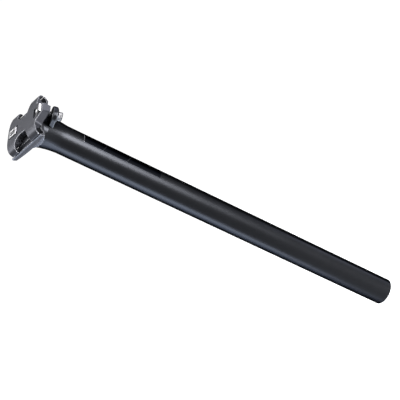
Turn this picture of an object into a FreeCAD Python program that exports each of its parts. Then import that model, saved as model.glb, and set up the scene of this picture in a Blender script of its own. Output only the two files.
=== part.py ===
import FreeCAD, Part
import os

import Sketcher

# Two-bolt bicycle seatpost: a one-piece forged shaft and head, and a rail
# clamp that tilts in the head's round trough.
#
# Frame: millimetres, +Z up along the shaft, +X to the front of the bicycle,
# origin at the centre of the shaft's lower end.
# The tilt axis is the axis of the trough. It runs along Y, at pivot_height.
# The clamp pieces are drawn level about that axis and then turned by
# clamp_tilt, nose down.

os.makedirs("parts", exist_ok=True)

doc = FreeCAD.newDocument("seatpost")
sizes = doc.addObject("Spreadsheet::Sheet", "Sizes")

SHAFT_SIZES = (
    ("shaft_diameter", 27.2, "outside diameter of the shaft"),
    ("shaft_wall", 2.4, "wall of the shaft"),
    ("shaft_edge", 0.5, "edge break at the shaft's lower end"),
    ("bore_dome", 7, "rounding at the blind end of the bore"),
    ("bore_stop", 30, "solid metal from the end of the bore up to the tilt axis"),
)
HEAD_SIZES = (
    ("pivot_height", 414, "tilt axis above the shaft's lower end"),
    ("neck_start", 34, "where the neck starts to flare, below the tilt axis"),
    ("neck_end", 15, "where the flare ends, below the tilt axis"),
    ("head_length", 27, "fore-aft size of the block that holds the trough"),
    ("head_width", 33, "side to side size of that block"),
    ("head_corner", 10.5, "corner radius of that block, seen from above"),
    ("trough_radius", 16, "radius of the trough"),
    ("ear_width", 16.4, "width of the two bolt ears"),
    ("ear_tip", 6.6, "radius of an ear's rounded end"),
    ("ear_reach", 7, "ear beyond its bolt"),
    ("ear_root", 13, "ear towards the trough, from its bolt"),
    ("ear_edge", 1.5, "rounding along the ears' edges"),
    ("front_ear_thickness", 5.4, "thickness of the front ear"),
    ("rear_ear_thickness", 4.6, "thickness of the rear ear"),
    ("front_seat_reach", 22.45, "front washer's axis, ahead of the tilt axis"),
    ("front_seat_drop", 20.1, "front washer's axis, below the tilt axis"),
    ("rear_seat_reach", 21.05, "rear washer's axis, behind the tilt axis"),
    ("rear_seat_drop", 12.3, "rear washer's axis, below the tilt axis"),
    ("bolt_hole", 6.6, "diameter of the bolt holes in the ears"),
)
CLAMP_SIZES = (
    ("clamp_tilt", 10, "nose-down tilt of the clamp, in degrees"),
    ("seat_clearance", 0.2, "gap between the cradle and the trough"),
    ("side_clearance", 0.5, "gap between the cradle's rails and the head's sides"),
    ("rail_spacing", 44, "distance between the centres of the saddle rails"),
    ("rail_groove", 7, "diameter of the rail grooves"),
    ("rail_drop", 2.8, "rail centres below the tilt axis"),
    ("rail_lip", 5.3, "outside radius of the metal round a rail"),
    ("clamp_split", 1, "gap between the upper clamp and the cradle"),
    ("clamp_front", 16.3, "front end of the rail grooves at the lips"),
    ("clamp_rear", 24.3, "rear end of the rail grooves, behind the tilt axis"),
)
UPPER_SIZES = (
    ("plate_top", 3.2, "top of the upper clamp above the tilt axis"),
    ("plate_bottom", 3.9, "underside of its nut blocks, below the tilt axis"),
    ("nose_wall", 4.3, "foot of the nose ahead of the front nut's barrel"),
    ("nose_lean", 2.8, "how far the nose leans back from its foot to its top"),
    ("tail_wall", 2.8, "rear end of the upper clamp behind the rear nut's barrel"),
    ("nose_flat", 4.2, "half width of the nose's tip"),
    ("sweep_reach", 14.9, "where the swept nose ends"),
    ("sweep_side", 12.6, "half width there"),
    ("waist", 11.4, "half width between the wings"),
    ("waist_front", 0.5, "front end of the waist"),
    ("waist_rear", 9, "rear end of the waist, behind the tilt axis"),
    ("front_wing_root", 5, "inner end of the front wing at the rail"),
    ("rear_wing_root", 13.6, "inner end of the rear wing at the rail"),
    ("rear_corner_start", 6, "half width where the rear corner starts"),
    ("rear_corner_end", 21.3, "where it ends at the wing's tip, behind the tilt axis"),
    ("rear_corner_radius", 60, "radius of the rear edge out to the wing"),
    ("block_width", 31, "width of the nut blocks"),
    ("block_inner", 6.5, "nut blocks inwards from the nuts' axes"),
    ("crown", 15, "half width of the flat top"),
    ("plate_edge", 0.5, "rounding of the upper clamp's top edges"),
    ("plan_round", 3, "rounding of the upper clamp's corners, from above"),
    ("nose_round", 1.5, "rounding of the nose, from above"),
    ("hollow_depth", 2.6, "depth of the hollow under the plate"),
    ("hollow_wall", 2, "wall beside that hollow at the waist"),
)
CRADLE_SIZES = (
    ("cradle_end", 8.1, "underside of the cradle's ends, below the tilt axis"),
    ("cradle_middle", 10.4, "underside of its rails at mid length"),
    ("cradle_foot", 23, "half width of the rails' underside"),
    ("channel_round", 3, "rounding of the channels' inner corners at their ends"),
    ("block_clearance", 0.4, "gap round the nut blocks"),
    ("bolt_notch", 1.2, "gap round the bolts where they pass the barrel"),
)
FASTENER_SIZES = (
    ("bolt_diameter", 5, "diameter of the bolts"),
    ("bolt_length", 17.7, "bolt under its head"),
    ("bolt_tip", 0.6, "chamfer at the bolt's tip"),
    ("bolt_head_diameter", 8.5, "diameter of the bolt's head"),
    ("bolt_head_height", 4.2, "height of the bolt's head"),
    ("bolt_head_edge", 0.5, "edge break of the bolt's head"),
    ("socket_width", 4, "hexagon socket across flats"),
    ("socket_depth", 2.6, "depth of the socket"),
    ("washer_radius", 5, "radius of the half-round washer"),
    ("washer_flat", 2, "washer's flat face above its axis"),
    ("washer_width", 8.6, "width of the washer"),
    ("washer_hole", 5.4, "hole in the washer"),
    ("washer_sink", 2.6, "ear's underside above the washer's axis"),
    ("round_clearance", 0.1, "gap round the washers and the nuts"),
    ("bolt_inset", 0.5, "inner side of the bolts inside the trough's radius, at the nuts"),
    ("nut_rise", 2.3, "nut's axis above the tilt axis"),
    ("nut_radius", 5, "radius of the half-round nut"),
    ("nut_flat", 1.8, "nut's flat top above its axis"),
    ("nut_width", 10, "width of the nut"),
    ("nut_hole", 5.5, "hole through the nut"),
    ("nut_countersink", 0.5, "countersink at the top of that hole"),
    ("nut_edge", 0.4, "edge break at the nut's ends"),
    ("slot_inner", 3.2, "bolt slot in the upper clamp, inwards from the nut's axis"),
    ("slot_outer", 6.6, "bolt slot outwards from the nut's axis"),
    ("slot_width", 6, "width of that slot"),
    ("nut_recess", 1, "depth of the flat recess round each nut"),
    ("nut_recess_edge", 1.2, "width of that recess beside the nut"),
)
ALL_SIZES = SHAFT_SIZES + HEAD_SIZES + CLAMP_SIZES + UPPER_SIZES + CRADLE_SIZES + FASTENER_SIZES

for row, (alias, value, note) in enumerate(ALL_SIZES, start=1):
    sizes.set(f"A{row}", note)
    sizes.set(f"B{row}", str(value))
    sizes.setAlias(f"B{row}", alias)
doc.recompute()


def number(expression):
    """The value of an expression on the sheet."""
    return float(sizes.evalExpression(expression))


def origin_plane(body, role):
    """One of the body's own origin planes, found by its role."""
    return [part for part in body.Origin.OriginFeatures if part.Role == role][0]


def new_body(label):
    body = doc.addObject("PartDesign::Body", label)
    body.Label = label
    return body


def new_sketch(body, name, role, x=None, y=None, z=None, turn=None):
    """A sketch on an origin plane, moved by x, y along it and z off it, and turned in it."""
    sketch = body.newObject("Sketcher::SketchObject", name)
    sketch.AttachmentSupport = [(origin_plane(body, role), "")]
    sketch.MapMode = "FlatFace"
    if turn is not None:
        upright = FreeCAD.Rotation(FreeCAD.Vector(0, 0, 1), number(turn))
        sketch.AttachmentOffset = FreeCAD.Placement(FreeCAD.Vector(0, 0, 0), upright)
    for axis, distance in (("x", x), ("y", y), ("z", z)):
        if distance is not None:
            sketch.setExpression(f"AttachmentOffset.Base.{axis}", distance)
    if turn is not None:
        sketch.setExpression("AttachmentOffset.Rotation.Angle", turn)
    return sketch


def tilted_sketch(body, name, x, z, turn):
    """A sketch at x, z whose normal leans from +Z towards +X by an angle."""
    sketch = body.newObject("Sketcher::SketchObject", name)
    sketch.AttachmentSupport = [(origin_plane(body, "XY_Plane"), "")]
    sketch.MapMode = "FlatFace"
    leaning = FreeCAD.Rotation(FreeCAD.Vector(0, 1, 0), number(turn))
    sketch.AttachmentOffset = FreeCAD.Placement(FreeCAD.Vector(0, 0, 0), leaning)
    sketch.setExpression("AttachmentOffset.Base.x", x)
    sketch.setExpression("AttachmentOffset.Base.z", z)
    sketch.setExpression("AttachmentOffset.Rotation.Angle", turn)
    return sketch


def pin_point(sketch, line, end, x, y):
    """Hold one end of a line or arc at x, y from the sketch's origin."""
    for kind, distance in (("DistanceX", x), ("DistanceY", y)):
        rule = Sketcher.Constraint(kind, -1, 1, line, end, number(distance))
        sketch.setExpression(f"Constraints[{sketch.addConstraint(rule)}]", distance)


def arc_between(start, end, radius, turn):
    """The short arc of a radius from start to end: turn 1 is to the left, -1 to the right."""
    chord = end - start
    rise = (radius**2 - (chord.Length / 2) ** 2) ** 0.5
    across = FreeCAD.Vector(-chord.y, chord.x, 0) / chord.Length
    centre = (start + end) / 2 + across * rise * turn
    middle = centre - across * radius * turn
    return Part.Arc(start, middle, end)


def outline(sketch, corners):
    """A closed outline. A corner is (x, y), or (x, y, radius, turn) where an arc starts."""
    places = [FreeCAD.Vector(number(corner[0]), number(corner[1]), 0) for corner in corners]
    edges = []
    for index, corner in enumerate(corners):
        start = places[index]
        end = places[(index + 1) % len(places)]
        if len(corner) == 2:
            line = sketch.addGeometry(Part.LineSegment(start, end), False)
            edges.append((line, 1, 2))
            continue
        line = sketch.addGeometry(arc_between(start, end, number(corner[2]), corner[3]), False)
        rule = Sketcher.Constraint("Radius", line, number(corner[2]))
        sketch.setExpression(f"Constraints[{sketch.addConstraint(rule)}]", corner[2])
        edges.append((line, 1, 2) if corner[3] > 0 else (line, 2, 1))
    for index, (line, first, last) in enumerate(edges):
        following = edges[(index + 1) % len(edges)]
        sketch.addConstraint(Sketcher.Constraint("Coincident", line, last, following[0], following[1]))
        pin_point(sketch, line, first, corners[index][0], corners[index][1])


def mirrored(corners, flip):
    """Corners up one side, then their mirror image down the other: flip 0 turns x over, 1 y."""
    whole = list(corners)
    for index in range(len(corners) - 1, -1, -1):
        place_there = list(corners[index][:2])
        place_there[flip] = f"-({place_there[flip]})"
        bend = corners[index - 1][2:] if index > 0 else ()
        whole.append(tuple(place_there) + tuple(bend))
    return whole


def rectangle(sketch, x_low, x_high, y_half):
    """A rectangle from x_low to x_high, centred on the sketch's horizontal axis."""
    low_y = f"-({y_half})"
    outline(sketch, [(x_low, low_y), (x_high, low_y), (x_high, y_half), (x_low, y_half)])


def circle(sketch, x, y, radius):
    """A circle of a radius about x, y."""
    centre = FreeCAD.Vector(number(x), number(y), 0)
    ring = sketch.addGeometry(Part.Circle(centre, FreeCAD.Vector(0, 0, 1), number(radius)), False)
    rule = Sketcher.Constraint("Radius", ring, number(radius))
    sketch.setExpression(f"Constraints[{sketch.addConstraint(rule)}]", radius)
    pin_point(sketch, ring, 3, x, y)


def both_sides(sketch, corners):
    """An outline and its mirror image in the sketch's vertical axis."""
    outline(sketch, corners)
    mirrored = []
    for corner in corners:
        if len(corner) == 2:
            mirrored.append((f"-({corner[0]})", corner[1]))
        else:
            mirrored.append((f"-({corner[0]})", corner[1], corner[2], -corner[3]))
    outline(sketch, mirrored)


def extrude(body, kind, name, sketch, length, centred=True, backwards=False):
    """A Pad or Pocket of a sketch. It must change the solid."""
    before = body.Shape.Volume if body.Tip else 0.0
    feature = body.newObject(f"PartDesign::{kind}", name)
    feature.Profile = sketch
    feature.SideType = "Symmetric" if centred else "One side"
    feature.Reversed = backwards
    feature.setExpression("Length", length)
    sketch.Visibility = False
    doc.recompute()
    after = feature.Shape.Volume
    grown = after > before + 1e-6 if kind == "Pad" else after < before - 1e-6
    if not grown:
        raise RuntimeError(f"{name} does not change {body.Label}")
    return feature


def revolve(body, kind, name, sketch):
    """A Revolution or Groove of a sketch about its own vertical axis."""
    feature = body.newObject(f"PartDesign::{kind}", name)
    feature.Profile = sketch
    feature.ReferenceAxis = (sketch, ["V_Axis"])
    feature.Angle = 360
    doc.recompute()
    return feature


def edges_where(shape, test):
    """Names of the edges that pass a test."""
    return [f"Edge{place}" for place, edge in enumerate(shape.Edges, start=1) if test(edge)]


def dress(body, kind, name, size, test):
    """A Fillet or Chamfer on the edges of the body's last feature that pass a test."""
    base = body.Tip
    names = edges_where(base.Shape, test)
    if not names:
        raise RuntimeError(f"{name} finds no edge on {body.Label}")
    feature = body.newObject(f"PartDesign::{kind}", name)
    feature.Base = (base, names)
    feature.setExpression("Radius" if kind == "Fillet" else "Size", size)
    doc.recompute()
    return feature


def upright(edge):
    """Whether an edge is a straight line along Z."""
    return edge.Curve.TypeId == "Part::GeomLine" and edge.BoundBox.XLength + edge.BoundBox.YLength < 1e-6


def along_x(edge):
    box = edge.BoundBox
    return edge.Curve.TypeId == "Part::GeomLine" and box.YLength + box.ZLength < 1e-6


def place(body, x, z, turn):
    """Turn a body about Y and move it to x, z."""
    turning = FreeCAD.Rotation(FreeCAD.Vector(0, 1, 0), number(turn))
    body.Placement = FreeCAD.Placement(FreeCAD.Vector(number(x), 0, number(z)), turning)
    body.setExpression("Placement.Base.x", x)
    body.setExpression("Placement.Base.z", z)
    body.setExpression("Placement.Rotation.Angle", turn)


# Places along the clamp that follow the bolts.
NUT_REACH = "(Sizes.trough_radius + Sizes.bolt_diameter / 2 - Sizes.bolt_inset)"
NOSE_FRONT = f"({NUT_REACH} + Sizes.nut_radius + Sizes.nose_wall)"
NOSE_REAR = f"({NUT_REACH} + Sizes.nut_radius + Sizes.tail_wall)"
BLOCK_START = f"({NUT_REACH} - Sizes.block_inner)"

# Where the nuts' axes and the washers' axes are, from the tilt axis, with the
# clamp at its tilt, and how far each bolt leans from the shaft's direction.
NUT_X = {
    "front": f"({NUT_REACH} * cos(Sizes.clamp_tilt) + Sizes.nut_rise * sin(Sizes.clamp_tilt))",
    "rear": f"(-{NUT_REACH} * cos(Sizes.clamp_tilt) + Sizes.nut_rise * sin(Sizes.clamp_tilt))",
}
NUT_Z = {
    "front": f"(Sizes.nut_rise * cos(Sizes.clamp_tilt) - {NUT_REACH} * sin(Sizes.clamp_tilt))",
    "rear": f"(Sizes.nut_rise * cos(Sizes.clamp_tilt) + {NUT_REACH} * sin(Sizes.clamp_tilt))",
}
SEAT_X = {"front": "Sizes.front_seat_reach", "rear": "(-Sizes.rear_seat_reach)"}
SEAT_Z = {"front": "(-Sizes.front_seat_drop)", "rear": "(-Sizes.rear_seat_drop)"}
LEAN = {
    end: f"atan(({NUT_X[end]} - {SEAT_X[end]}) / ({NUT_Z[end]} - {SEAT_Z[end]}))"
    for end in ("front", "rear")
}
OUTWARD = {"front": "1", "rear": "-1"}
ENDS = ("front", "rear")
EAR_THICKNESS = {"front": "Sizes.front_ear_thickness", "rear": "Sizes.rear_ear_thickness"}


def build_post():
    """The one-piece shaft and head: a blind tube, a flared neck, a trough and two ears."""
    body = new_body("post")
    axis = "Sizes.pivot_height"

    # The shaft grows from its lower end.
    profile = new_sketch(body, "shaft_circle", "XY_Plane")
    circle(profile, "0", "0", "Sizes.shaft_diameter / 2")
    extrude(body, "Pad", "shaft", profile, f"{axis} - Sizes.neck_start", centred=False)
    dress(body, "Chamfer", "shaft_lower_edge", "Sizes.shaft_edge", lambda edge: edge.BoundBox.ZMax < 1e-6)

    # The neck goes from round to the head's rounded block, slowly at first.
    sections = []
    steps = 4
    for step in range(steps + 1):
        share = f"({step} / {steps})"
        swell = f"({share} * {share})"
        height = f"{axis} - Sizes.neck_start + (Sizes.neck_start - Sizes.neck_end) * {share}"
        half_x = f"(Sizes.shaft_diameter / 2 + (Sizes.head_length - Sizes.shaft_diameter) / 2 * {swell})"
        half_y = f"(Sizes.shaft_diameter / 2 + (Sizes.head_width - Sizes.shaft_diameter) / 2 * {swell})"
        round_corner = "(Sizes.shaft_diameter / 2 - 0.2)"
        corner = f"({round_corner} + (Sizes.head_corner - {round_corner}) * {share})"
        section = new_sketch(body, f"neck_section_{step}", "XY_Plane", z=height)
        rounded_block(section, half_x, half_y, corner)
        section.Visibility = False
        sections.append(section)
    neck = body.newObject("PartDesign::AdditiveLoft", "neck")
    neck.Profile = sections[0]
    neck.Sections = sections[1:]
    doc.recompute()

    block = new_sketch(body, "block_outline", "XY_Plane", z=f"{axis} - Sizes.neck_end")
    rounded_block(block, "Sizes.head_length / 2", "Sizes.head_width / 2", "Sizes.head_corner")
    extrude(body, "Pad", "block", block, "Sizes.neck_end - Sizes.trough_radius / 3", centred=False)

    # Each ear is a slab square to its bolt, drawn about the washer's axis.
    for end in ENDS:
        side = OUTWARD[end]
        seat_z = f"{axis} + {SEAT_Z[end]}"
        ear = new_sketch(body, f"{end}_ear_outline", "XZ_Plane", x=SEAT_X[end], y=seat_z, turn=f"-{LEAN[end]}")
        low = "Sizes.washer_sink"
        high = f"(Sizes.washer_sink + {EAR_THICKNESS[end]})"
        inner = f"({side} * -Sizes.ear_root)"
        outer = f"({side} * Sizes.ear_reach)"
        outline(ear, [(inner, low), (outer, low), (outer, high), (inner, high)])
        extrude(body, "Pad", f"{end}_ear", ear, "Sizes.ear_width")
    dress(body, "Fillet", "ear_tips", "Sizes.ear_tip", lambda edge: is_ear_corner(edge))
    dress(body, "Fillet", "ear_edges", "Sizes.ear_edge", lambda edge: is_ear_edge(edge))

    trough = new_sketch(body, "trough_circle", "XZ_Plane", y=axis)
    circle(trough, "0", "0", "Sizes.trough_radius")
    extrude(body, "Pocket", "trough", trough, "Sizes.head_width * 2")

    # Under each ear: a round seat for the washer, and the bolt's hole through it.
    for end in ENDS:
        seat = new_sketch(body, f"{end}_seat_circle", "XZ_Plane", x=SEAT_X[end], y=f"{axis} + {SEAT_Z[end]}")
        circle(seat, "0", "0", "Sizes.washer_radius + Sizes.round_clearance")
        extrude(body, "Pocket", f"{end}_washer_seat", seat, "Sizes.washer_width + Sizes.round_clearance * 2")
        hole = tilted_sketch(body, f"{end}_hole_circle", SEAT_X[end], f"{axis} + {SEAT_Z[end]}", LEAN[end])
        circle(hole, "0", "0", "Sizes.bolt_hole / 2")
        extrude(body, "Pocket", f"{end}_bolt_hole", hole, "Sizes.washer_radius * 4")

    # The bore is blind, with a domed end, so the head is solid.
    bore = new_sketch(body, "bore_profile", "XZ_Plane")
    wall_line = "(Sizes.shaft_diameter / 2 - Sizes.shaft_wall)"
    stop = f"({axis} - Sizes.bore_stop)"
    outline(
        bore,
        [
            ("0", "0"),
            (wall_line, "0"),
            (wall_line, f"{stop} - Sizes.bore_dome", "Sizes.bore_dome", 1),
            (f"{wall_line} - Sizes.bore_dome", stop),
            ("0", stop),
        ],
    )
    revolve(body, "Groove", "bore", bore)
    return body


def is_ear_corner(edge):
    """The outer upright corners of the ears, which lie square to the ears' faces."""
    if edge.Curve.TypeId != "Part::GeomLine":
        return False
    box = edge.BoundBox
    height = (box.ZMin + box.ZMax) / 2 - number("Sizes.pivot_height")
    reach = abs((box.XMin + box.XMax) / 2)
    thickest = number("max(Sizes.front_ear_thickness; Sizes.rear_ear_thickness)")
    rises = box.YLength < 1e-6 and 1 < edge.Length < thickest + 1e-3
    return rises and reach > number("Sizes.head_length / 2 + 4") and -number("Sizes.neck_start") < height


def is_ear_edge(edge):
    """The outer edges of the ears' upper and lower faces."""
    box = edge.BoundBox
    near = min(abs(box.XMin), abs(box.XMax))
    far = max(abs(box.XMin), abs(box.XMax))
    beyond = number("Sizes.head_length / 2 + Sizes.ear_root / 3")
    rises = box.YLength < 1e-6 and far - near < number("Sizes.ear_edge")
    return far > beyond and not rises and box.ZMin > number("Sizes.pivot_height - Sizes.neck_start")


def rounded_block(sketch, half_x, half_y, corner):
    """A rectangle with round corners about the sketch's origin."""
    line_x = f"({half_x} - {corner})"
    line_y = f"({half_y} - {corner})"
    outline(
        sketch,
        [
            (half_x, f"-{line_y}"),
            (half_x, line_y, corner, 1),
            (line_x, half_y),
            (f"-{line_x}", half_y, corner, 1),
            (f"-{half_x}", line_y),
            (f"-{half_x}", f"-{line_y}", corner, 1),
            (f"-{line_x}", f"-{half_y}"),
            (line_x, f"-{half_y}", corner, 1),
        ],
    )


# Places that the two clamp halves share, level about the tilt axis.
RAIL_Y = "(Sizes.rail_spacing / 2)"
GROOVE_R = "(Sizes.rail_groove / 2)"
SEAM_TOP = "(Sizes.rail_drop - Sizes.clamp_split / 2)"
SEAM_LOW = "(Sizes.rail_drop + Sizes.clamp_split / 2)"
SEAM_HALF = f"sqrt({GROOVE_R} ^ 2 - (Sizes.clamp_split / 2) ^ 2)"
LIP_HALF = "sqrt(Sizes.rail_lip ^ 2 - (Sizes.clamp_split / 2) ^ 2)"


def build_cradle():
    """The lower half of the clamp: a half barrel for the trough between two rail channels."""
    body = new_body("lower_cradle")
    inner = "(Sizes.head_width / 2 + Sizes.side_clearance)"

    # One outline of both channels, bridged at the seam, is drawn along the rails.
    section = new_sketch(body, "channel_section", "YZ_Plane", z="(Sizes.clamp_front - Sizes.clamp_rear) / 2")
    low = "-(Sizes.cradle_middle + 1)"
    knee_y = f"({RAIL_Y} + Sizes.rail_lip * cos(50))"
    knee_z = "(-Sizes.rail_drop - Sizes.rail_lip * sin(50))"
    both_sides(
        section,
        [
            (inner, low),
            ("Sizes.cradle_foot", low),
            (knee_y, knee_z, "Sizes.rail_lip", 1),
            (f"{RAIL_Y} + {LIP_HALF}", f"-{SEAM_LOW}"),
            (f"{RAIL_Y} + {SEAM_HALF}", f"-{SEAM_LOW}", GROOVE_R, -1),
            (f"{RAIL_Y} - {SEAM_HALF}", f"-{SEAM_LOW}"),
            (inner, f"-{SEAM_LOW}"),
        ],
    )
    extrude(body, "Pad", "rail_channels", section, "Sizes.clamp_front + Sizes.clamp_rear")

    inner_y = number(inner)
    dress(body, "Fillet", "channel_ends", "Sizes.channel_round", lambda edge: is_channel_corner(edge, inner_y))

    # The channels' underside is a long shallow arc, deepest at mid length.
    belly = new_sketch(body, "belly_outline", "XZ_Plane")
    sag = "(Sizes.cradle_middle - Sizes.cradle_end)"
    half = "((Sizes.clamp_front + Sizes.clamp_rear) / 2 + 1)"
    middle = "((Sizes.clamp_front - Sizes.clamp_rear) / 2)"
    below = "-(Sizes.cradle_middle + 5)"
    radius = f"(({half} ^ 2 + {sag} ^ 2) / 2 / {sag})"
    outline(
        belly,
        [
            (f"{middle} - {half}", below),
            (f"{middle} + {half}", below),
            (f"{middle} + {half}", "-Sizes.cradle_end", radius, -1),
            (f"{middle} - {half}", "-Sizes.cradle_end"),
        ],
    )
    extrude(body, "Pocket", "belly", belly, "Sizes.rail_spacing * 2")

    barrel = new_sketch(body, "barrel_outline", "XZ_Plane")
    round_r = "(Sizes.trough_radius - Sizes.seat_clearance)"
    chord = f"sqrt({round_r} ^ 2 - {SEAM_LOW} ^ 2)"
    bottom_x = f"({round_r} * cos(45))"
    outline(
        barrel,
        [
            (f"-{chord}", f"-{SEAM_LOW}", round_r, 1),
            (f"-{bottom_x}", f"-{bottom_x}", round_r, 1),
            (bottom_x, f"-{bottom_x}", round_r, 1),
            (chord, f"-{SEAM_LOW}"),
        ],
    )
    extrude(body, "Pad", "barrel", barrel, f"{inner} * 2")

    # Room for the nut blocks above, and a notch for each bolt.
    for end in ENDS:
        side = OUTWARD[end]
        beyond = f"{side} * (Sizes.trough_radius + 1)"
        room = new_sketch(body, f"{end}_block_room_outline", "XY_Plane", z=f"-{SEAM_LOW}")
        near = f"{side} * ({BLOCK_START} - Sizes.block_clearance)"
        rectangle(room, near, beyond, "Sizes.block_width / 2 + Sizes.block_clearance")
        depth = f"Sizes.plate_bottom + Sizes.block_clearance - {SEAM_LOW}"
        extrude(body, "Pocket", f"{end}_block_room", room, depth, centred=False)
        notch = new_sketch(body, f"{end}_notch_outline", "XY_Plane")
        near = f"{side} * ({NUT_REACH} - Sizes.bolt_diameter / 2 - Sizes.bolt_notch)"
        rectangle(notch, near, beyond, "Sizes.bolt_diameter / 2 + Sizes.bolt_notch")
        extrude(body, "Pocket", f"{end}_notch", notch, "Sizes.trough_radius", centred=False)
    return body


def is_channel_corner(edge, inner):
    """The upright inner corners at the ends of the rail channels."""
    return upright(edge) and abs(abs(edge.BoundBox.YMin) - inner) < 1e-3


def build_upper():
    """The upper half of the clamp: a plate with wings over the rails and two nut blocks."""
    body = new_body("upper_clamp")

    # The plate is drawn along the rails: flat in the middle, curling over each rail.
    section = new_sketch(body, "plate_section", "YZ_Plane", z=f"({NOSE_FRONT} - {NOSE_REAR}) / 2")
    curl_y = f"({RAIL_Y} + Sizes.rail_lip * cos(80))"
    curl_z = "(-Sizes.rail_drop + Sizes.rail_lip * sin(80))"
    fall = f"(Sizes.plate_top - {curl_z})"
    crown_radius = f"((({curl_y} - Sizes.crown) ^ 2 + {fall} ^ 2) / 2 / {fall})"
    half_section = [
        (f"{RAIL_Y} - {SEAM_HALF}", f"-{SEAM_TOP}", GROOVE_R, -1),
        (f"{RAIL_Y} + {SEAM_HALF}", f"-{SEAM_TOP}"),
        (f"{RAIL_Y} + {LIP_HALF}", f"-{SEAM_TOP}", "Sizes.rail_lip", 1),
        (curl_y, curl_z, crown_radius, 1),
        ("Sizes.crown", "Sizes.plate_top"),
    ]
    outline(section, mirrored(half_section, 0))
    extrude(body, "Pad", "plate", section, f"{NOSE_FRONT} + {NOSE_REAR}")

    # A block under each end carries a nut.
    blocks = new_sketch(body, "block_outlines", "XY_Plane", z=f"-{SEAM_TOP}")
    rectangle(blocks, BLOCK_START, NOSE_FRONT, "Sizes.block_width / 2")
    rectangle(blocks, f"-{NOSE_REAR}", f"-{BLOCK_START}", "Sizes.block_width / 2")
    block_depth = f"Sizes.plate_bottom - {SEAM_TOP}"
    extrude(body, "Pad", "nut_blocks", blocks, block_depth, centred=False, backwards=True)

    # Everything outside the outline seen from above is cut away.
    plan = new_sketch(body, "plan_outline", "XY_Plane")
    beyond = f"({RAIL_Y} + Sizes.rail_lip + 3)"
    half_plan = [
        (NOSE_FRONT, "Sizes.nose_flat"),
        (f"{NOSE_FRONT} - Sizes.nose_lean * 0.7", "Sizes.nose_flat + 0.3"),
        ("Sizes.sweep_reach", "Sizes.sweep_side"),
        ("Sizes.clamp_front", f"{RAIL_Y} + {LIP_HALF}"),
        ("Sizes.clamp_front", beyond),
        ("Sizes.front_wing_root", beyond),
        ("Sizes.front_wing_root", f"{RAIL_Y} + 3"),
        ("Sizes.waist_front", "Sizes.waist"),
        ("-Sizes.waist_rear", "Sizes.waist"),
        ("-Sizes.rear_wing_root", "Sizes.waist + 5"),
        ("-Sizes.rear_wing_root", beyond),
        ("-Sizes.rear_corner_end", beyond),
        ("-Sizes.rear_corner_end", f"{RAIL_Y} + {LIP_HALF}", "Sizes.rear_corner_radius", 1),
        (f"-{NOSE_REAR}", "Sizes.rear_corner_start"),
    ]
    outline(plan, mirrored(half_plan, 1))
    rectangle(plan, f"-({NOSE_REAR} + 5)", f"{NOSE_FRONT} + 5", f"{beyond} + 5")
    extrude(body, "Pocket", "plan_cut", plan, "Sizes.rail_spacing")

    nose = number(NOSE_FRONT) - 1e-3
    dress(
        body,
        "Fillet",
        "nose_round",
        "Sizes.nose_round",
        lambda edge: upright(edge) and edge.BoundBox.XMax > nose,
    )
    dress(body, "Fillet", "plan_corners", "Sizes.plan_round", lambda edge: is_plan_corner(edge))

    # The nose leans back from its foot.
    lean = new_sketch(body, "nose_lean_outline", "XZ_Plane")
    ahead = f"({NOSE_FRONT} + 1)"
    outline(
        lean,
        [
            (f"{NOSE_FRONT} - Sizes.nose_lean", "Sizes.plate_top"),
            (NOSE_FRONT, "-Sizes.plate_bottom"),
            (ahead, "-Sizes.plate_bottom"),
            (ahead, "Sizes.plate_top + 1"),
            (f"{NOSE_FRONT} - Sizes.nose_lean", "Sizes.plate_top + 1"),
        ],
    )
    extrude(body, "Pocket", "nose_slope", lean, "Sizes.block_width")

    dress(body, "Fillet", "top_edges", "Sizes.plate_edge", lambda edge: is_top_edge(edge))

    # The middle of the plate is hollowed from below.
    hollow = new_sketch(body, "hollow_outline", "XY_Plane", z=f"-{SEAM_TOP}")
    rectangle(hollow, f"-({BLOCK_START} - 1)", f"{BLOCK_START} - 1", "Sizes.waist - Sizes.hollow_wall")
    extrude(body, "Pocket", "hollow", hollow, "Sizes.hollow_depth", centred=False, backwards=True)

    # Each nut lies in a round trough, with a slot for its bolt below.
    for end in ENDS:
        side = OUTWARD[end]
        trough = new_sketch(body, f"{end}_trough_circle", "XZ_Plane", x=f"{side} * {NUT_REACH}", y="Sizes.nut_rise")
        circle(trough, "0", "0", "Sizes.nut_radius + Sizes.round_clearance")
        extrude(body, "Pocket", f"{end}_nut_trough", trough, "Sizes.nut_width + Sizes.round_clearance * 2")
        recess = new_sketch(body, f"{end}_recess_outline", "XY_Plane", z="Sizes.plate_top")
        reach = "(Sizes.nut_radius + Sizes.nut_recess_edge)"
        ends_x = [f"{side} * {NUT_REACH}", f"{side} * ({NUT_REACH} - {reach})"]
        rectangle(recess, ends_x[0], ends_x[1], "Sizes.nut_width / 2 + Sizes.nut_recess_edge")
        extrude(body, "Pocket", f"{end}_recess", recess, "Sizes.nut_recess", centred=False)
        slot = new_sketch(body, f"{end}_slot_outline", "XY_Plane")
        near = f"{side} * ({NUT_REACH} - Sizes.slot_inner)"
        far = f"{side} * ({NUT_REACH} + Sizes.slot_outer)"
        rectangle(slot, near, far, "Sizes.slot_width / 2")
        extrude(body, "Pocket", f"{end}_slot", slot, "Sizes.plate_bottom + 1", centred=False)
    return body


def is_plan_corner(edge):
    """The upright corners of the plan, but not the nose's own."""
    if not upright(edge):
        return False
    return edge.Length > 2 and edge.BoundBox.XMax < number(f"{NOSE_FRONT} - Sizes.nose_lean / 3")


def is_top_edge(edge):
    """The edges of the flat top, but not the lines where it starts to curl over the rails."""
    box = edge.BoundBox
    if box.ZMin < number("Sizes.plate_top") - 1e-3:
        return False
    return not (along_x(edge) and abs(abs(box.YMin) - number("Sizes.crown")) < 1e-3)


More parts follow.
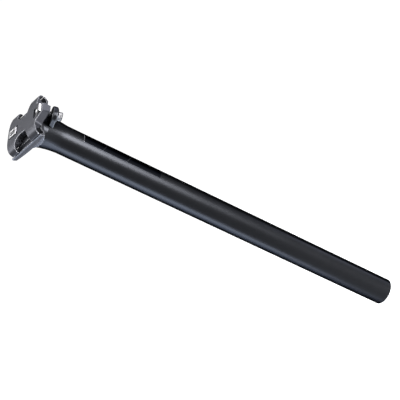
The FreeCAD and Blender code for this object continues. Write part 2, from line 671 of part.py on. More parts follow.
def build_bolt(end):
    """A socket-head bolt, drawn about its washer's axis with its shank upwards."""
    body = new_body(f"{end}_bolt")
    shank = "(Sizes.bolt_diameter / 2)"
    head = "(Sizes.bolt_head_diameter / 2)"
    tip = "(Sizes.washer_flat + Sizes.bolt_length)"
    foot = "(Sizes.washer_flat - Sizes.bolt_head_height)"
    profile = new_sketch(body, f"{end}_bolt_profile", "XZ_Plane")
    outline(
        profile,
        [
            ("0", foot),
            (f"{head} - Sizes.bolt_head_edge", foot),
            (head, f"{foot} + Sizes.bolt_head_edge"),
            (head, "Sizes.washer_flat"),
            (shank, "Sizes.washer_flat"),
            (shank, f"{tip} - Sizes.bolt_tip"),
            (f"{shank} - Sizes.bolt_tip", tip),
            ("0", tip),
        ],
    )
    revolve(body, "Revolution", f"{end}_bolt_turning", profile)
    socket = new_sketch(body, f"{end}_socket_hexagon", "XY_Plane", z=foot)
    corner = "(Sizes.socket_width / sqrt(3))"
    turns = [f"({corner} * cos({60 * step}), {corner} * sin({60 * step}))" for step in range(6)]
    outline(socket, [tuple(turn[1:-1].split(", ")) for turn in turns])
    extrude(body, "Pocket", f"{end}_socket", socket, "Sizes.socket_depth", centred=False, backwards=True)
    place(body, SEAT_X[end], f"Sizes.pivot_height + {SEAT_Z[end]}", LEAN[end])
    return body


def build_washer(end):
    """A half-round washer: flat against the bolt's head, round in the ear."""
    body = new_body(f"{end}_washer")
    half = "sqrt(Sizes.washer_radius ^ 2 - Sizes.washer_flat ^ 2)"
    profile = new_sketch(body, f"{end}_washer_profile", "XZ_Plane")
    outline(profile, [(f"-{half}", "Sizes.washer_flat"), (half, "Sizes.washer_flat", "Sizes.washer_radius", 1)])
    extrude(body, "Pad", f"{end}_half_round", profile, "Sizes.washer_width")
    hole = new_sketch(body, f"{end}_washer_circle", "XY_Plane")
    circle(hole, "0", "0", "Sizes.washer_hole / 2")
    extrude(body, "Pocket", f"{end}_washer_hole", hole, "Sizes.washer_radius * 3")
    place(body, SEAT_X[end], f"Sizes.pivot_height + {SEAT_Z[end]}", LEAN[end])
    return body


def build_nut(end):
    """A half-round nut across the upper clamp, drawn about its own axis."""
    body = new_body(f"{end}_nut")
    half = "sqrt(Sizes.nut_radius ^ 2 - Sizes.nut_flat ^ 2)"
    profile = new_sketch(body, f"{end}_nut_profile", "XZ_Plane")
    outline(
        profile,
        [
            (f"-{half}", "Sizes.nut_flat", "Sizes.nut_radius", 1),
            ("0", "-Sizes.nut_radius", "Sizes.nut_radius", 1),
            (half, "Sizes.nut_flat"),
        ],
    )
    extrude(body, "Pad", f"{end}_half_barrel", profile, "Sizes.nut_width")
    dress(body, "Chamfer", f"{end}_nut_ends", "Sizes.nut_edge", lambda edge: is_nut_end(edge))
    hole = new_sketch(body, f"{end}_nut_circle", "XY_Plane")
    circle(hole, "0", "0", "Sizes.nut_hole / 2")
    extrude(body, "Pocket", f"{end}_nut_hole", hole, "Sizes.nut_radius * 3")
    dress(body, "Chamfer", f"{end}_nut_countersink", "Sizes.nut_countersink", lambda edge: is_nut_rim(edge))
    place(body, NUT_X[end], f"Sizes.pivot_height + {NUT_Z[end]}", LEAN[end])
    return body


def is_nut_end(edge):
    """The edges of a nut's two end faces."""
    end_y = number("Sizes.nut_width / 2") - 1e-3
    return edge.BoundBox.YMax < -end_y or edge.BoundBox.YMin > end_y


def is_nut_rim(edge):
    """The rim of a nut's hole in its flat top."""
    top = number("Sizes.nut_flat") - 1e-3
    return edge.BoundBox.ZMin > top and edge.Curve.TypeId == "Part::GeomCircle"


def check_all(bodies):
    """Stop before anything is written if an object failed or a shape is not one valid solid."""
    for item in doc.Objects:
        if "Invalid" in item.State or "Error" in item.State:
            raise RuntimeError(f"{item.Name} failed: {item.State}")
    for body in bodies:
        if body.Shape.isNull() or not body.Shape.isValid() or len(body.Shape.Solids) != 1:
            raise RuntimeError(f"{body.Label} is not one valid solid")


bodies = [build_post(), build_cradle(), build_upper()]
for half in bodies[1:]:
    place(half, "0", "Sizes.pivot_height", "Sizes.clamp_tilt")
for end in ENDS:
    bodies += [build_bolt(end), build_washer(end), build_nut(end)]
doc.recompute()
check_all(bodies)
for body in bodies:
    body.Shape.exportStep(f"parts/{body.Label}.step")
    print(body.Label, round(body.Shape.Volume), "mm3")
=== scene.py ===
import math

import bmesh
import bpy
import numpy as np
from mathutils import Matrix, Vector


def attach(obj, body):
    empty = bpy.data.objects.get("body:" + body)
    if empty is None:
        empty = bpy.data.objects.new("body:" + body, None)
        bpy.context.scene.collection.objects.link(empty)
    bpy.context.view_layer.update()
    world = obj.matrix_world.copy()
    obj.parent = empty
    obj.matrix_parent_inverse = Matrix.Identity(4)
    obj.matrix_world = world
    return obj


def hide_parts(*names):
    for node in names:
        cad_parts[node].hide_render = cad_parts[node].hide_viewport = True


bl_info = {
    "name": "Two-bolt seatpost",
    "version": (1, 0, 0),
    "blender": (4, 5, 0),
    "location": "View3D > Sidebar > Seatpost",
    "description": "Finishes a two-bolt bicycle seatpost and stages it in a pale studio",
    "category": "Object",
}

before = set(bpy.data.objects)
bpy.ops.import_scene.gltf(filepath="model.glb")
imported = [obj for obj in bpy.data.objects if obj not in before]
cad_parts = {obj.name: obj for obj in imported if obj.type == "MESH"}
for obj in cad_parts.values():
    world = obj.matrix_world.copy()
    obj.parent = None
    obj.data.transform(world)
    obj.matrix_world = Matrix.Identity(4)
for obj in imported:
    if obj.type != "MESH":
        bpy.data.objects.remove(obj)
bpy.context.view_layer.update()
MM = 0.001
TURN = 2 * math.pi
ENDS = ("front", "rear")

# In millimetres: the shaft's radius, the height at which the neck leaves it, and the thread's pitch.
SHAFT_RADIUS = 13.6
NECK_START = 380
THREAD_PITCH = 0.8

# The axis of each bolt's half-round washer and that of its nut. The bolt runs from one to the other.
WASHER_AXIS = {"front": np.array((22.45, 0, 393.9)) * MM, "rear": np.array((-21.05, 0, 401.7)) * MM}
NUT_AXIS = {"front": np.array((18.126, 0, 413.139)) * MM, "rear": np.array((-17.327, 0, 419.391)) * MM}

# Points nearer than JOINED become one point, and faces thinner than SLIVER go.
JOINED = 0.001 * MM
SLIVER = 0.0001 * MM

# Two faces that turn by less than COPLANAR are one plane. An edge is broken where they turn by more
# than BROKEN, and shaded sharp where they turn by more than SHARP.
COPLANAR = math.radians(0.5)
BROKEN = math.radians(32)
SHARP = math.radians(40)

# The camera's right, up and backward directions, as the columns of its turn.
CAMERA_TURN = (
    (0.554580, 0.620652, 0.554285),
    (-0.022581, 0.677082, -0.735561),
    (-0.831824, 0.395411, 0.389511),
)

# Each lamp's name, place, height on the seatpost's axis that it faces, width, height, power and colour.
LAMPS = (
    ("key_softbox", (0.83, -0.17, 0.25), 0.25, 0.46, 0.5, 25.5, (1, 1, 1)),
    ("side_softbox", (-0.7, -0.63, -0.02), 0.2, 0.65, 0.8, 22, (0.84, 0.93, 1.06)),
    ("low_softbox", (0.45, 0.42, -0.3), 0.02, 0.3, 0.2, 2.5, (1, 1, 1)),
    ("front_softbox", (0.5, 0.62, 0.46), 0.41, 0.3, 0.3, 2.9, (1, 0.98, 1.06)),
    ("back_softbox", (-0.35, 0.5, 1.25), 0.41, 0.5, 0.5, 11, (1, 1, 1)),
    ("top_softbox", (0, 0, 1.4), 0.41, 0.5, 0.5, 8, (1, 1, 1)),
)


# Meshes


def grid_faces(rows, columns, start):
    """Quads that join a grid's points to their neighbours, and its last column to its first."""
    index = start + np.arange(rows * columns).reshape(rows, columns)
    ahead = np.roll(index, -1, axis=1)
    return np.stack([index[:-1], ahead[:-1], ahead[1:], index[1:]], axis=-1).reshape(-1, 4)


def build_mesh(name, patches):
    """One mesh from patches of points, each shaped (rows, columns, 3) and closed round its columns.

    A patch whose first and last rows shrink to a point is a closed shell once doubles are merged.
    """
    points = np.concatenate([patch.reshape(-1, 3) for patch in patches])
    starts = np.cumsum([0] + [patch.shape[0] * patch.shape[1] for patch in patches])
    faces = np.concatenate([grid_faces(*patch.shape[:2], start) for patch, start in zip(patches, starts)])
    mesh = bpy.data.meshes.new(name)
    mesh.from_pydata(points.tolist(), [], faces.tolist())
    work = bmesh.new()
    work.from_mesh(mesh)
    bmesh.ops.remove_doubles(work, verts=work.verts, dist=JOINED)
    bmesh.ops.dissolve_degenerate(work, edges=work.edges, dist=SLIVER)
    bmesh.ops.recalc_face_normals(work, faces=work.faces)
    work.to_mesh(mesh)
    work.free()
    return mesh


def new_piece(name, mesh, material, body):
    """Links a mesh as a piece of the seatpost that rides on a body, smooth but for its sharp edges."""
    mesh.materials.append(material)
    mesh.polygons.foreach_set("use_smooth", np.ones(len(mesh.polygons), dtype=bool))
    mesh.set_sharp_from_angle(angle=SHARP)
    piece = bpy.data.objects.new(name, mesh)
    bpy.context.scene.collection.objects.link(piece)
    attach(piece, body)
    return piece


def packed_copy(node):
    """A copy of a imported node's mesh with its loose triangles joined to each other.

    Corners whose places agree when they are rounded to 0.0001 mm become one point, and a triangle that
    loses a side is left out. It comes with the place and the normal of each triangle's three corners.
    """
    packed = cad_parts[node].data
    places = np.empty((len(packed.vertices), 3))
    packed.vertices.foreach_get("co", places.ravel())
    corners = np.empty(len(packed.loops), dtype=int)
    packed.loops.foreach_get("vertex_index", corners)
    normals = np.empty((len(packed.loops), 3))
    packed.corner_normals.foreach_get("vector", normals.ravel())
    _, first, joined = np.unique(np.round(places, 7), axis=0, return_index=True, return_inverse=True)
    faces = joined.ravel()[corners].reshape(-1, 3)
    whole = (faces != np.roll(faces, 1, axis=1)).all(axis=1)
    mesh = bpy.data.meshes.new(f"{node}_finished")
    mesh.from_pydata(places[first].tolist(), [], faces[whole].tolist())
    return mesh, places[first][faces[whole]], normals.reshape(-1, 3, 3)[whole]


def mark_edges(mesh, place, normal, radius):
    """Stores on each triangle whether it belongs to an edge rounded to a radius, from 0 to 1.

    A triangle's curving is the turn of its normal along a side over that side's length, for the side
    where it is largest. Times the radius it is 1 on such an edge. The value rises from none to whole.
    """
    none, whole = 0.6, 0.9
    turn = np.linalg.norm(normal - np.roll(normal, 1, axis=1), axis=2)
    side = np.linalg.norm(place - np.roll(place, 1, axis=1), axis=2)
    curving = (turn / side).max(axis=1) * radius
    # The edge value masks where a painted highlight and a lower roughness go on rounded edges.
    edge = mesh.attributes.new("edge", "FLOAT", "FACE")
    edge.data.foreach_set("value", np.clip((curving - none) / (whole - none), 0, 1))


def edge_broken_copy(node, width):
    """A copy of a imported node's mesh with its sharp edges rounded by a width, and its points' normals.

    The new faces store 1 as their edge value. A point's normal is the sum of its faces' normals, each
    times its area, so that large faces are shaded flat.
    """
    mesh = packed_copy(node)[0]
    work = bmesh.new()
    work.from_mesh(mesh)
    bmesh.ops.dissolve_limit(work, angle_limit=COPLANAR, verts=work.verts, edges=work.edges)
    edge = work.faces.layers.float.new("edge")
    made = bmesh.ops.bevel(
        work,
        geom=[side for side in work.edges if side.calc_face_angle(0) > BROKEN],
        offset=width,
        offset_type="OFFSET",
        segments=2,
        profile=0.5,
        affect="EDGES",
        clamp_overlap=False,
    )
    # These bevel faces take the painted edge highlight wherever the material reads the edge value.
    for face in made["faces"]:
        face[edge] = 1
    work.normal_update()
    normals = []
    for point in work.verts:
        weighted = (face.normal * face.calc_area() for face in point.link_faces)
        normals.append(sum(weighted, Vector()).normalized())
    work.to_mesh(mesh)
    work.free()
    return mesh, normals


def round_neck_start(place, normal):
    """Turns the normals where the neck leaves the shaft straight out from the axis, as the shaft's are.

    The two surfaces then shade into each other. These are the normals of the corners within 0.1 mm
    of the ring where they meet that look at most 30 degrees up or down.
    """
    near = 0.1 * MM
    away = np.hypot(place[..., 0], place[..., 1])
    start = np.abs(place[..., 2] - NECK_START * MM) < near
    start &= np.abs(away - SHAFT_RADIUS * MM) < near
    start &= np.abs(normal[..., 2]) < 0.5
    outwards = place * (1, 1, 0) / np.maximum(away, 1e-9)[..., None]
    normal[start] = outwards[start]


def full_turn(columns):
    """The columns' angles, spread evenly over one turn."""
    return np.arange(columns) * TURN / columns


def about_bolt(end, radius, height):
    """Points round a bolt's own axis, from a radius for each row and column and a height for each row.

    A point is the washer's axis plus height along the bolt, plus radius times the cosine and sine of
    its column's angle along two directions square to the bolt.
    """
    angle = full_turn(radius.shape[1])
    along = NUT_AXIS[end] - WASHER_AXIS[end]
    along = along / np.linalg.norm(along)
    side = np.array((0.0, 1.0, 0.0))
    front = np.cross(side, along)
    ring = np.cos(angle)[:, None] * front + np.sin(angle)[:, None] * side
    return WASHER_AXIS[end] + radius[..., None] * ring + height[:, None, None] * along


def thread_rise(height, angle):
    """How far a thread stands out, from 0 at its root to 1 at its crest.

    The phase is height over pitch less the angle in turns. The rise goes evenly up and down again
    over one phase, and its lowest and highest 0.15 are cut off as flats.
    """
    flat = 0.15
    phase = np.mod(height / THREAD_PITCH - angle / TURN, 1)
    return np.clip((1 - np.abs(2 * phase - 1) - flat) / (1 - 2 * flat), 0, 1)


def bolt_head(end):
    """A knurled round head with a hexagon socket, from the socket's floor round to the shank.

    Each row has a radius and a height in millimetres. The socket's wall is at half its width over the
    cosine of the angle from the middle of its flat. The knurl takes a ridge pattern, a cosine of the
    angle, off the side between the two bevels.
    """
    columns, ridges = 216, 36
    side, ridge_depth, half_socket = 4.25, 0.17, 2.0
    angle = full_turn(columns)
    from_flat = np.mod(angle + TURN / 12, TURN / 6) - TURN / 12
    hexagon = half_socket / np.cos(from_flat)
    ridge = ridge_depth * (0.5 - 0.5 * np.cos(ridges * angle))
    rows = (
        (0, 0.55),
        (hexagon * 0.9, 0.45),
        (hexagon, 0.4),
        (hexagon, -2.0),
        (hexagon + 0.16, -2.2),
        (3.55, -2.2),
        (3.75, -2.13),
        (4.05, -1.83),
        (side - ridge * 0.4, -1.6),
        (side - ridge, -1.35),
        (side - ridge, 1.45),
        (side - ridge * 0.4, 1.7),
        (4.1, 1.9),
        (3.9, 2.0),
        (2.3, 2.0),
        (0, 2.0),
    )
    radius = np.stack([np.broadcast_to(row[0], columns) for row in rows])
    height = np.array([row[1] for row in rows])
    return about_bolt(end, radius * MM, height * MM)


def bolt_shank(end):
    """A threaded shank, from inside the head to its bevelled tip, in millimetres.

    Its radius is the root's plus the crest's height times the thread's rise. A plain length of the
    crest's radius falls to the root's over one pitch, and the thread grows in over the next. At the
    tip the radius falls off at 45 degrees.
    """
    columns, turned_from, top = 40, 5.5, 19.7
    root, crest, tip = 2.06, 0.42, 2.0
    below = (1.8, 1.8, 3.2, 3.4)
    height = np.concatenate([below, np.linspace(3.6, top - 0.55, 300), (top - 0.2, top, top)])[:, None]
    threaded = np.clip((height - turned_from) / THREAD_PITCH, 0, 1)
    plain = np.clip((turned_from - height) / THREAD_PITCH, 0, 1)
    rise = np.maximum(thread_rise(height, full_turn(columns)) * threaded, plain)
    radius = np.minimum(root + crest * rise, tip + (top - height))
    radius[[0, -1]] = 0
    return about_bolt(end, radius * MM, height[:, 0] * MM)


def nut_thread(end):
    """The thread cut in a nut, as a ring that lines its hole from below to the countersink.

    Its inner radius, in millimetres, is the hole's less the crest's height times the thread's rise,
    which fades out at both ends. Its back lies just under the hole's wall.
    """
    columns, low, high, fade = 48, -4.1, 1.25, 0.3
    hole, crest, back = 2.76, 0.19, 2.8
    reach = np.linalg.norm(NUT_AXIS[end] - WASHER_AXIS[end]) / MM
    height = np.linspace(low, high, 108)[:, None]
    faded = np.clip(np.minimum(height - low, high - height) / fade, 0, 1)
    inner = hole - crest * thread_rise(height + reach, full_turn(columns)) * faded
    radius = np.concatenate([inner, np.full((2, columns), back), inner[:1]])
    height = np.concatenate([height[:, 0], (high, low, low)]) + reach
    return about_bolt(end, radius * MM, height * MM)


def band_patch():
    """A thin printed band down the front of the shaft, a closed shell just proud of its round surface.

    Each row is a flat loop at one height: its arc is half the band's width times the cosine of the
    column's angle, on the outside for the first half turn and back under the surface for the second.
    Towards each end the half width follows a small circle, which rounds the corners. A point's place
    is its radius from the shaft's axis, turned from the front by the arc over the shaft's radius.
    All lengths are in millimetres.
    """
    columns, low, high = 64, 280.0, 363.0
    half_width, corner, proud, sunk = 5.4, 0.6, 0.03, 0.06
    inset = np.concatenate([(0, 0.02, 0.1, 0.25, 0.45, corner), np.linspace(1, (high - low) / 2, 40)])
    from_end = np.concatenate([inset, inset[-2::-1]])
    height = np.concatenate([low + inset, high - inset[-2::-1]])
    miss = np.clip(corner - from_end, 0, corner)
    half = half_width - corner + np.sqrt(corner**2 - miss**2)
    angle = full_turn(columns) + TURN / columns / 2
    arc = half[:, None] * np.cos(angle)
    rise = np.where(np.sin(angle) > 0, proud * np.clip(4 * np.sin(angle), 0, 1), -sunk)
    radius = SHAFT_RADIUS + rise * np.clip(from_end[:, None] / 0.05, 0, 1)
    turned = arc / SHAFT_RADIUS
    level = np.broadcast_to(height[:, None], arc.shape)
    points = np.stack([radius * np.cos(turned), radius * np.sin(turned), level], axis=-1)
    points[0] = points[0].mean(axis=0)
    points[-1] = points[-1].mean(axis=0)
    return points * MM


# Materials


def feed(tree, socket, value):
    """Links another node's output to a socket, or sets the socket to a plain value."""
    if isinstance(value, bpy.types.NodeSocket):
        tree.links.new(value, socket)
    else:
        socket.default_value = value


def math_node(tree, operation, first, second=None, clamp=False):
    """The result of a Math node on one or two outputs or numbers."""
    node = tree.nodes.new("ShaderNodeMath")
    node.operation = operation
    node.use_clamp = clamp
    feed(tree, node.inputs[0], first)
    if second is not None:
        feed(tree, node.inputs[1], second)
    return node.outputs[0]


def mix_colours(tree, factor, first, second):
    """The result of a Mix node that goes from the first colour to the second as the factor rises.

    A Mix node has a set of sockets for each kind of data. Its colours are inputs 6 and 7 and output 2.
    """
    mix = tree.nodes.new("ShaderNodeMix")
    mix.data_type = "RGBA"
    feed(tree, mix.inputs["Factor"], factor)
    feed(tree, mix.inputs[6], first)
    feed(tree, mix.inputs[7], second)
    return mix.outputs[2]


def blast_group():
    """Fine blasted and anodised surface: small bumps, and a slow drift of tone over the part.

    The colour is scaled by 1 plus the drift, and the roughness is shifted by the drift and by specks
    of the grain. Both noises are centred on 0 first.
    """
    speck_strength = 0.12
    name = "blasted_surface"
    if name in bpy.data.node_groups:
        return bpy.data.node_groups[name]
    tree = bpy.data.node_groups.new(name, "ShaderNodeTree")
    for socket, kind, default in (
        ("Colour", "NodeSocketColor", (0.03, 0.03, 0.03, 1)),
        ("Roughness", "NodeSocketFloat", 0.4),
        ("Grain per metre", "NodeSocketFloat", 9000.0),
        ("Tone drift", "NodeSocketFloat", 0.1),
    ):
        tree.interface.new_socket(name=socket, in_out="INPUT", socket_type=kind).default_value = default
    for socket, kind in (
        ("Colour", "NodeSocketColor"),
        ("Roughness", "NodeSocketFloat"),
        ("Height", "NodeSocketFloat"),
    ):
        tree.interface.new_socket(name=socket, in_out="OUTPUT", socket_type=kind)
    enter = tree.nodes.new("NodeGroupInput")
    leave = tree.nodes.new("NodeGroupOutput")
    place = tree.nodes.new("ShaderNodeTexCoord")
    grain = tree.nodes.new("ShaderNodeTexNoise")
    feed(tree, grain.inputs["Vector"], place.outputs["Object"])
    feed(tree, grain.inputs["Scale"], enter.outputs["Grain per metre"])
    feed(tree, grain.inputs["Detail"], 3)
    drift = tree.nodes.new("ShaderNodeTexNoise")
    feed(tree, drift.inputs["Vector"], place.outputs["Object"])
    feed(tree, drift.inputs["Scale"], 60)
    feed(tree, drift.inputs["Detail"], 2)
    drift_centred = math_node(tree, "SUBTRACT", drift.outputs["Fac"], 0.5)
    swing = math_node(tree, "MULTIPLY", drift_centred, enter.outputs["Tone drift"])
    tint = tree.nodes.new("ShaderNodeVectorMath")
    tint.operation = "SCALE"
    feed(tree, tint.inputs[0], enter.outputs["Colour"])
    feed(tree, tint.inputs["Scale"], math_node(tree, "ADD", swing, 1.0))
    grain_centred = math_node(tree, "SUBTRACT", grain.outputs["Fac"], 0.5)
    speck = math_node(tree, "MULTIPLY", grain_centred, speck_strength)
    specked = math_node(tree, "ADD", enter.outputs["Roughness"], speck)
    feed(tree, leave.inputs["Colour"], tint.outputs[0])
    feed(tree, leave.inputs["Roughness"], math_node(tree, "ADD", specked, swing, clamp=True))
    feed(tree, leave.inputs["Height"], grain.outputs["Fac"])
    return tree


def metal(name, colour, roughness, metallic, ior, grain, drift, bump, tint):
    """A finished metal whose colour, roughness and bump come from the blasted-surface group.

    Grain counts the surface's noise per metre, drift is how far its tone wanders and bump how strongly
    the grain stands out. Tint is the brightness of its reflections at a grazing angle.
    """
    made = bpy.data.materials.new(name)
    made.use_nodes = True
    tree = made.node_tree
    shader = tree.nodes["Principled BSDF"]
    surface = tree.nodes.new("ShaderNodeGroup")
    surface.node_tree = blast_group()
    feed(tree, surface.inputs["Colour"], (*colour, 1))
    feed(tree, surface.inputs["Roughness"], roughness)
    feed(tree, surface.inputs["Grain per metre"], grain)
    feed(tree, surface.inputs["Tone drift"], drift)
    height = tree.nodes.new("ShaderNodeBump")
    feed(tree, height.inputs["Strength"], bump)
    feed(tree, height.inputs["Distance"], 0.02 * MM)
    feed(tree, height.inputs["Height"], surface.outputs["Height"])
    feed(tree, shader.inputs["Base Color"], surface.outputs["Colour"])
    feed(tree, shader.inputs["Roughness"], surface.outputs["Roughness"])
    feed(tree, shader.inputs["Normal"], height.outputs["Normal"])
    feed(tree, shader.inputs["Metallic"], metallic)
    feed(tree, shader.inputs["IOR"], ior)
    feed(tree, shader.inputs["Specular Tint"], (tint, tint, tint, 1))
    return made


def paint_edge_highlights(material, colour, roughness):
    """Paints a highlight on a metal where the mesh's own edge value is 1: a lighter colour there, and
    another roughness.
    """
    tree = material.node_tree
    surface = next(node for node in tree.nodes if node.type == "GROUP")
    edge = tree.nodes.new("ShaderNodeAttribute")
    edge.attribute_name = "edge"
    face_colour = tuple(surface.inputs["Colour"].default_value)
    face_roughness = surface.inputs["Roughness"].default_value
    # Painted highlight: the edges take a lighter colour than the faces, standing in for light caught on
    # the rounding.
    feed(tree, surface.inputs["Colour"], mix_colours(tree, edge.outputs["Fac"], face_colour, (*colour, 1)))
    change = math_node(tree, "MULTIPLY", edge.outputs["Fac"], roughness - face_roughness)
    feed(tree, surface.inputs["Roughness"], math_node(tree, "ADD", change, face_roughness))


def band_material(ground):
    """Glossy print on a dark ground, with a pale line across its upper end and two thin slanted lines.

    A line is where height plus a slope times the sideways place comes near the line's own height.
    """
    made = bpy.data.materials.new("printed_band")
    made.use_nodes = True
    tree = made.node_tree
    shader = tree.nodes["Principled BSDF"]
    place = tree.nodes.new("ShaderNodeTexCoord")
    split = tree.nodes.new("ShaderNodeSeparateXYZ")
    feed(tree, split.inputs[0], place.outputs["Object"])
    colour = (*ground, 1)
    # Each line's height and half width in millimetres, its slope and its colour.
    for middle, half_width, slope, tone in (
        (362.75, 0.22, 0, (0.16, 0.16, 0.17, 1)),
        (340, 0.14, 0.49, (0.06, 0.062, 0.07, 1)),
        (314.2, 0.14, 0.53, (0.06, 0.062, 0.07, 1)),
    ):
        sloping = math_node(tree, "MULTIPLY", split.outputs["Y"], slope)
        slanted = math_node(tree, "ADD", split.outputs["Z"], sloping)
        away = math_node(tree, "ABSOLUTE", math_node(tree, "SUBTRACT", slanted, middle * MM))
        near = math_node(tree, "LESS_THAN", away, half_width * MM)
        colour = mix_colours(tree, near, colour, tone)
    surface = tree.nodes.new("ShaderNodeGroup")
    surface.node_tree = blast_group()
    feed(tree, surface.inputs["Colour"], colour)
    feed(tree, surface.inputs["Roughness"], 0.22)
    feed(tree, surface.inputs["Grain per metre"], 5000)
    feed(tree, surface.inputs["Tone drift"], 0.05)
    feed(tree, shader.inputs["Base Color"], surface.outputs["Colour"])
    feed(tree, shader.inputs["Roughness"], surface.outputs["Roughness"])
    feed(tree, shader.inputs["Metallic"], 1)
    feed(tree, shader.inputs["Specular Tint"], (0.04, 0.04, 0.05, 1))
    return made


def give(node, material):
    """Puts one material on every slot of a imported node."""
    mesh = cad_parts[node].data
    mesh.materials.clear()
    mesh.materials.append(material)


# Settings


class SEATPOST_PG_finish(bpy.types.PropertyGroup):
    """Colours and sheen of the finished parts"""

    shaft_colour: bpy.props.FloatVectorProperty(
        name="Shaft colour",
        description="Anodised colour of the one-piece post",
        subtype="COLOR",
        default=(0.014, 0.0146, 0.0165),
    )
    # Painted highlight: the post's rounded edges are coloured lighter than the shaft, in place of light
    # caught on them.
    shaft_edge_highlight_colour: bpy.props.FloatVectorProperty(
        name="Shaft edge colour",
        description="Colour of the post's rounded edges",
        subtype="COLOR",
        default=(0.05, 0.052, 0.056),
    )
    shaft_roughness: bpy.props.FloatProperty(
        name="Shaft roughness", description="Spread of the shaft's reflections", default=0.33, min=0, max=1
    )
    clamp_colour: bpy.props.FloatVectorProperty(
        name="Clamp colour",
        description="Anodised colour of both clamp halves",
        subtype="COLOR",
        default=(0.034, 0.035, 0.041),
    )
    # Painted highlight: the clamp's rounded and broken edges are coloured much lighter than its faces, in
    # place of light caught on them.
    clamp_edge_highlight_colour: bpy.props.FloatVectorProperty(
        name="Clamp edge colour",
        description="Colour of the clamp's rounded and broken edges",
        subtype="COLOR",
        default=(0.17, 0.172, 0.185),
    )
    clamp_roughness: bpy.props.FloatProperty(
        name="Clamp roughness", description="Spread of the clamp's reflections", default=0.42, min=0, max=1
    )
    edge_roughness: bpy.props.FloatProperty(
        name="Edge roughness", description="Spread of the edges' reflections", default=0.3, min=0, max=1
    )
    band_colour: bpy.props.FloatVectorProperty(
        name="Band colour",
        description="Ground colour of the printed band",
        subtype="COLOR",
        default=(0.008, 0.0086, 0.0108),
    )
    steel_colour: bpy.props.FloatVectorProperty(
        name="Steel colour",
        description="Colour of the bolts and washers",
        subtype="COLOR",
        default=(0.09, 0.09, 0.093),
    )
    nut_colour: bpy.props.FloatVectorProperty(
        name="Nut colour",
        description="Colour of the plated nuts",
        subtype="COLOR",
        default=(0.3, 0.3, 0.305),
    )


class SEATPOST_PG_stage(bpy.types.PropertyGroup):
    """Camera and studio"""

    camera_place: bpy.props.FloatVectorProperty(
        name="Camera place",
        description="Where the camera stands, in the seatpost's frame",
        subtype="TRANSLATION",
        default=(0.696793, -0.917478, 0.716071),
    )
    lens: bpy.props.FloatProperty(name="Lens", description="Focal length in millimetres", default=117.0)
    floor_height: bpy.props.FloatProperty(
        name="Floor height",
        description="Height of the floor, with the shaft's lower end at 0",
        subtype="DISTANCE",
        default=-0.35,
    )


# Pieces


class SEATPOST_OT_post(bpy.types.Operator):
    """Finishes the one-piece post"""

    bl_idname = "seatpost.post"
    bl_label = "Finish the post"

    def execute(self, context):
        look = context.scene.seatpost_finish
        finish = metal(
            "black_anodised",
            look.shaft_colour,
            look.shaft_roughness,
            metallic=1,
            ior=1.25,
            grain=9000,
            drift=0.08,
            bump=0.15,
            tint=0.12,
        )
        # The post's rounded edges get a painted highlight colour and a lower roughness.
        paint_edge_highlights(finish, look.shaft_edge_highlight_colour, look.edge_roughness)
        give("post", finish)
        mesh, place, normal = packed_copy("post")
        round_neck_start(place, normal)
        mark_edges(mesh, place, normal, radius=1.5 * MM)
        post = new_piece("post_finished", mesh, finish, "post")
        mesh.normals_split_custom_set(normal.reshape(-1, 3).tolist())
        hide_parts("post")
        band = build_mesh("shaft_band", [band_patch()])
        new_piece("shaft_band", band, band_material(look.band_colour), "post")
        return {"FINISHED"}


class SEATPOST_OT_clamp(bpy.types.Operator):
    """Finishes the two clamp halves"""

    bl_idname = "seatpost.clamp"
    bl_label = "Finish the clamp"

    def execute(self, context):
        look = context.scene.seatpost_finish
        finish = metal(
            "grey_anodised",
            look.clamp_colour,
            look.clamp_roughness,
            metallic=0.6,
            ior=1.3,
            grain=5500,
            drift=0.14,
            bump=0.35,
            tint=0.3,
        )
        # The clamp's fillets and the cradle's broken edges get a painted highlight colour and a lower
        # roughness.
        paint_edge_highlights(finish, look.clamp_edge_highlight_colour, look.edge_roughness)
        for node in ("lower_cradle", "upper_clamp"):
            give(node, finish)
        mesh, normals = edge_broken_copy("lower_cradle", width=0.25 * MM)
        cradle = new_piece("lower_cradle_finished", mesh, finish, "clamp")
        mesh.normals_split_custom_set_from_vertices(normals)
        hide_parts("lower_cradle")
        mesh, place, normal = packed_copy("upper_clamp")
        mark_edges(mesh, place, normal, radius=0.5 * MM)
        plate = new_piece("upper_clamp_finished", mesh, finish, "clamp")
        mesh.normals_split_custom_set(normal.reshape(-1, 3).tolist())
        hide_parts("upper_clamp")
        return {"FINISHED"}


class SEATPOST_OT_fasteners(bpy.types.Operator):
    """Finishes the bolts, washers and nuts"""

    bl_idname = "seatpost.fasteners"
    bl_label = "Finish the fasteners"

    def execute(self, context):
        look = context.scene.seatpost_finish
        plain = {"metallic": 1, "ior": 1.5, "grain": 6000, "drift": 0.1, "bump": 0.1}
        steel = metal("bright_steel", look.steel_colour, roughness=0.36, tint=0, **plain)
        plated = metal("plated_steel", look.nut_colour, roughness=0.27, tint=0.1, **plain)
        for end in ENDS:
            for part in ("bolt", "washer", "nut"):
                give(f"{end}_{part}", plated if part == "nut" else steel)
            mesh = build_mesh(f"{end}_bolt_threaded", [bolt_head(end), bolt_shank(end)])
            bolt = new_piece(f"{end}_bolt_threaded", mesh, steel, f"{end}_bolt")
            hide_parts(f"{end}_bolt")
            mesh, normals = edge_broken_copy(f"{end}_nut", width=0.2 * MM)
            nut = new_piece(f"{end}_nut_finished", mesh, plated, f"{end}_nut")
            mesh.normals_split_custom_set_from_vertices(normals)
            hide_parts(f"{end}_nut")
            thread = build_mesh(f"{end}_nut_thread", [nut_thread(end)])
            new_piece(f"{end}_nut_thread", thread, plated, f"{end}_nut")
        return {"FINISHED"}


# Stage


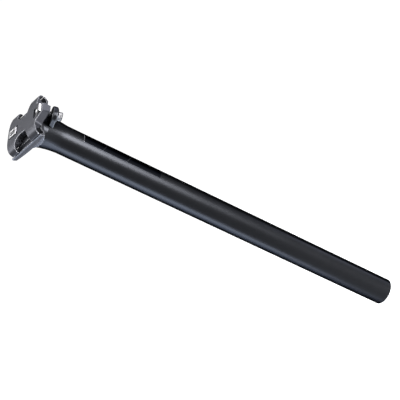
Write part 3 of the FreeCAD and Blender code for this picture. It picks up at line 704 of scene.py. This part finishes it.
def softbox(name, place, aim, width, height, power, colour):
    """A rectangular lamp at a place, facing a height on the seatpost's axis."""
    lamp = bpy.data.lights.new(name, "AREA")
    lamp.shape = "RECTANGLE"
    lamp.size = width
    lamp.size_y = height
    lamp.energy = power
    lamp.color = colour
    box = bpy.data.objects.new(name, lamp)
    bpy.context.scene.collection.objects.link(box)
    box.location = place
    box.rotation_mode = "QUATERNION"
    box.rotation_quaternion = (Vector((0, 0, aim)) - Vector(place)).to_track_quat("-Z", "Y")
    box.visible_camera = False


def seen_ray(tree):
    """One for a ray from the camera, a reflection or through glass, and zero for other light."""
    path = tree.nodes.new("ShaderNodeLightPath")
    seen = math_node(tree, "MAXIMUM", path.outputs["Is Camera Ray"], path.outputs["Is Glossy Ray"])
    return math_node(tree, "MAXIMUM", seen, path.outputs["Is Transmission Ray"])


class SEATPOST_OT_stage(bpy.types.Operator):
    """Sets up the camera, the pale floor and the soft lamps"""

    bl_idname = "seatpost.stage"
    bl_label = "Set the stage"

    def execute(self, context):
        scene = context.scene
        settings = scene.seatpost_stage
        lens = bpy.data.cameras.new("camera")
        lens.lens = settings.lens
        lens.sensor_width = 36
        lens.clip_start = 0.05
        lens.clip_end = 50
        camera = bpy.data.objects.new("camera", lens)
        scene.collection.objects.link(camera)
        camera.rotation_mode = "QUATERNION"
        camera.rotation_quaternion = Matrix(CAMERA_TURN).to_quaternion()
        camera.location = settings.camera_place
        scene.camera = camera

        # A pale floor that glows to the camera, in reflections and through glass, and keeps the shadow.
        floor = bpy.data.objects.new("floor", bpy.data.meshes.new("floor"))
        reach = 12
        square = ((-reach, -reach), (reach, -reach), (reach, reach), (-reach, reach))
        corners = [(x, y, settings.floor_height) for x, y in square]
        floor.data.from_pydata(corners, [], [(0, 1, 2, 3)])
        scene.collection.objects.link(floor)
        paper = bpy.data.materials.new("pale_floor")
        paper.use_nodes = True
        tree = paper.node_tree
        shader = tree.nodes["Principled BSDF"]
        feed(tree, shader.inputs["Base Color"], (0.7, 0.7, 0.7, 1))
        feed(tree, shader.inputs["Roughness"], 0.8)
        feed(tree, shader.inputs["Emission Color"], (1, 1, 1, 1))
        feed(tree, shader.inputs["Emission Strength"], math_node(tree, "MULTIPLY", seen_ray(tree), 0.6))
        floor.data.materials.append(paper)

        # White all round where it is seen, and dimmer as a light on the object.
        dim = 0.55
        world = bpy.data.worlds.new("studio")
        scene.world = world
        world.use_nodes = True
        tree = world.node_tree
        background = tree.nodes["Background"]
        extra = math_node(tree, "MULTIPLY", seen_ray(tree), 1 - dim)
        feed(tree, background.inputs["Color"], (1, 1, 1, 1))
        feed(tree, background.inputs["Strength"], math_node(tree, "ADD", extra, dim))

        for lamp in LAMPS:
            softbox(*lamp)
        scene.view_settings.view_transform = "Standard"
        return {"FINISHED"}


class SEATPOST_PT_panel(bpy.types.Panel):
    """Lists the seatpost's operators and settings"""

    bl_idname = "SEATPOST_PT_panel"
    bl_label = "Seatpost"
    bl_space_type = "VIEW_3D"
    bl_region_type = "UI"
    bl_category = "Seatpost"

    def draw(self, context):
        layout = self.layout
        for step in STEPS:
            layout.operator(step.bl_idname)
        for group in (context.scene.seatpost_finish, context.scene.seatpost_stage):
            for name in group.bl_rna.properties.keys():
                if name not in ("rna_type", "name"):
                    layout.prop(group, name)


STEPS = (SEATPOST_OT_post, SEATPOST_OT_clamp, SEATPOST_OT_fasteners, SEATPOST_OT_stage)
GROUPS = (SEATPOST_PG_finish, SEATPOST_PG_stage)


def register():
    for cls in GROUPS + STEPS + (SEATPOST_PT_panel,):
        bpy.utils.register_class(cls)
    bpy.types.Scene.seatpost_finish = bpy.props.PointerProperty(type=SEATPOST_PG_finish)
    bpy.types.Scene.seatpost_stage = bpy.props.PointerProperty(type=SEATPOST_PG_stage)


def unregister():
    del bpy.types.Scene.seatpost_stage
    del bpy.types.Scene.seatpost_finish
    for cls in reversed(GROUPS + STEPS + (SEATPOST_PT_panel,)):
        bpy.utils.unregister_class(cls)


def main():
    """Registers the classes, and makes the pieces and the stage."""
    register()
    bpy.ops.seatpost.post()
    bpy.ops.seatpost.clamp()
    bpy.ops.seatpost.fasteners()
    bpy.ops.seatpost.stage()
    bpy.context.view_layer.update()


if __name__ == "__main__":
    main()
